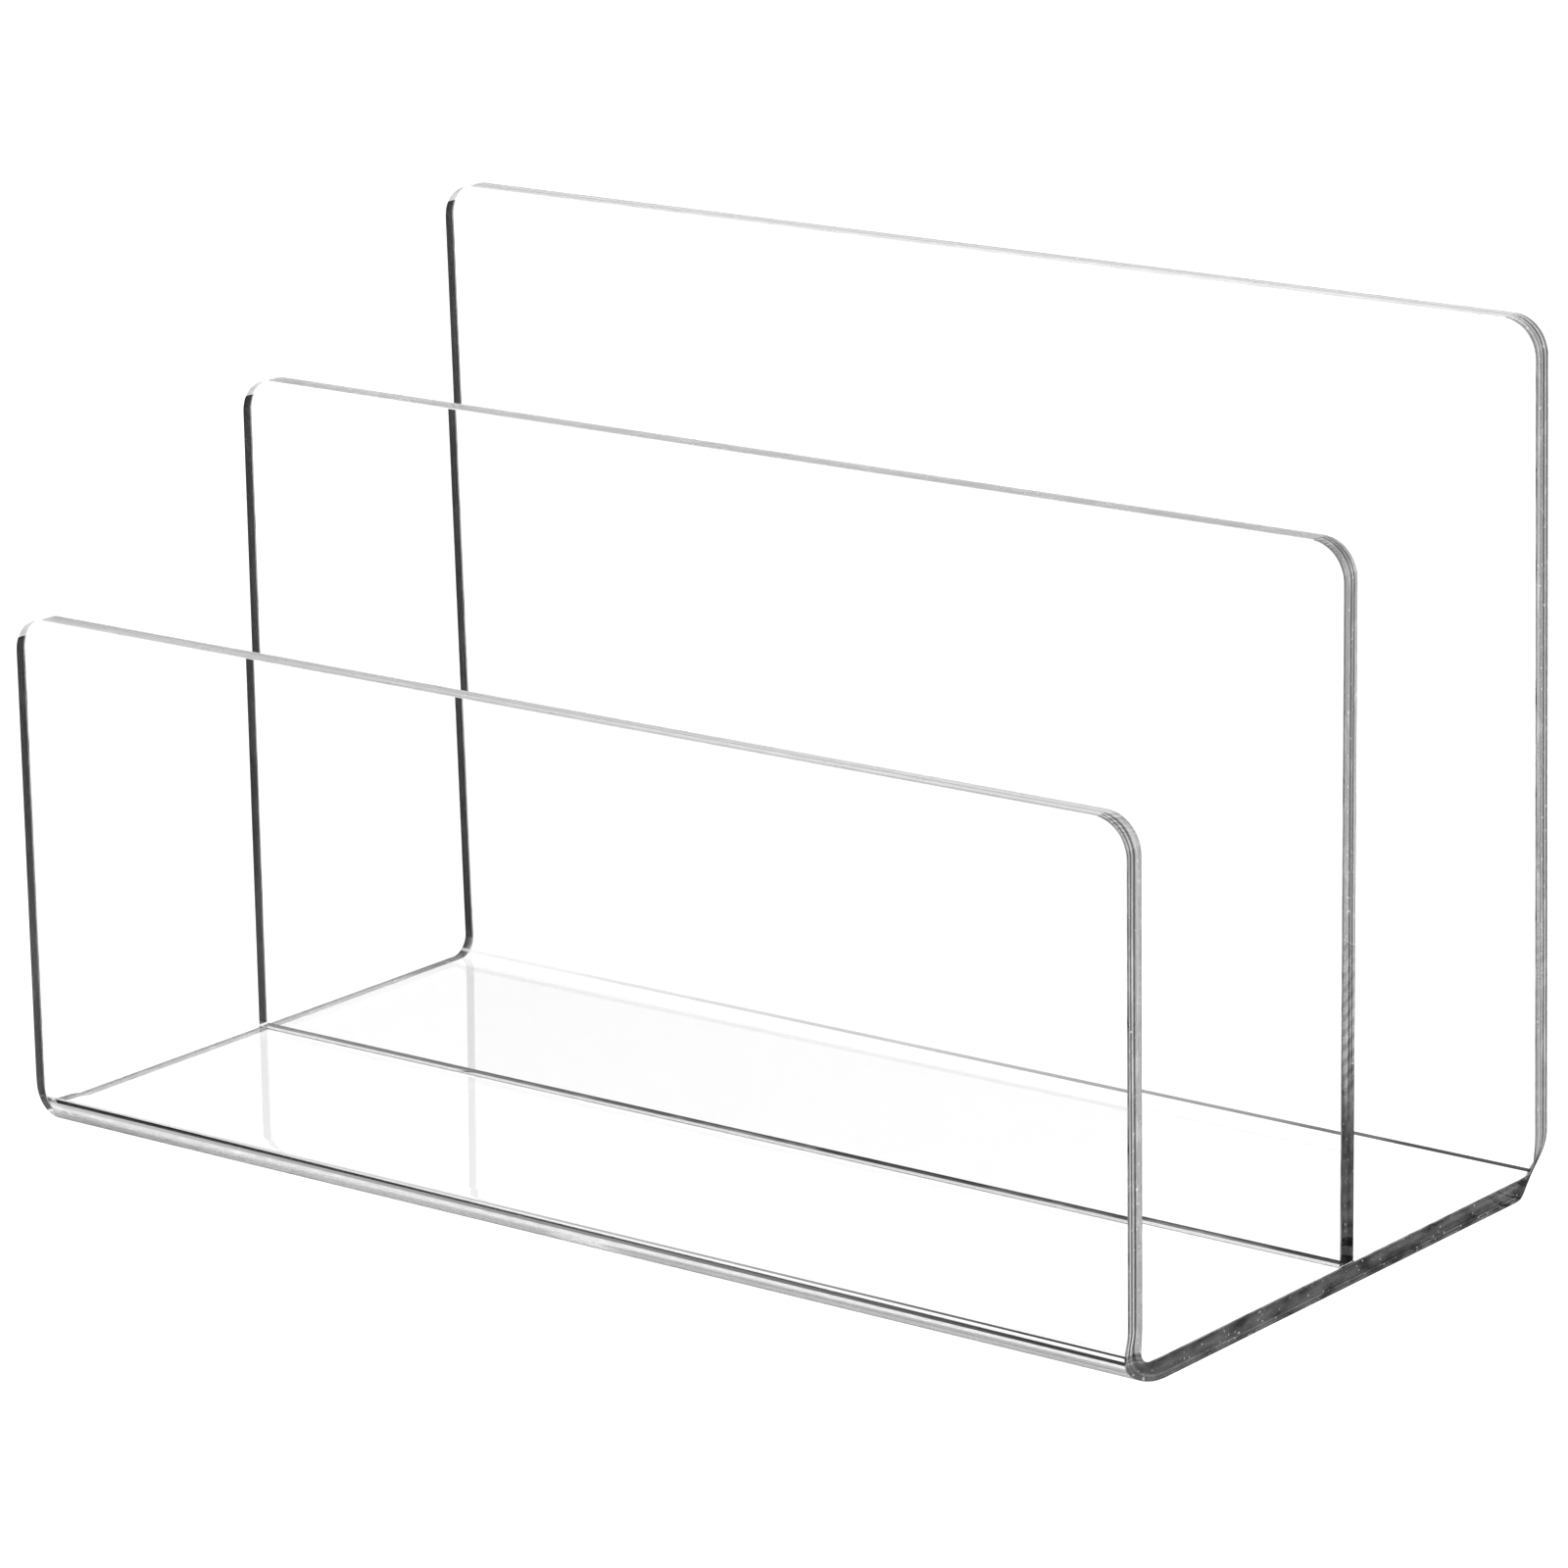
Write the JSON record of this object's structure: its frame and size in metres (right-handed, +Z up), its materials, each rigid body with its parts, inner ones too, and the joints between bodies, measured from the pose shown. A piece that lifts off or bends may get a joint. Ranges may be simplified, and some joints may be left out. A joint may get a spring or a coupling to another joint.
{
  "type": "desktop file sorter",
  "caption": "Clear desktop file sorter: a bent sheet forms the front wall, base and back wall, with a cemented divider between the pockets.",
  "frame": {"origin": "middle of the footprint, on the surface the sorter stands on", "axes": "+Z up, +X along the sorter's length, -Y towards the low front wall"},
  "size_m": [0.305, 0.1615, 0.197],
  "materials": {
    "clear_sheet": "polished",
    "clear_plate": "polished",
    "clear_cement": "polished"
  },
  "bodies": {
    "root": {"bent_sheet": "clear_sheet", "middle_divider": "clear_plate", "cement_bead": "clear_cement"}
  },
  "joints": []
}
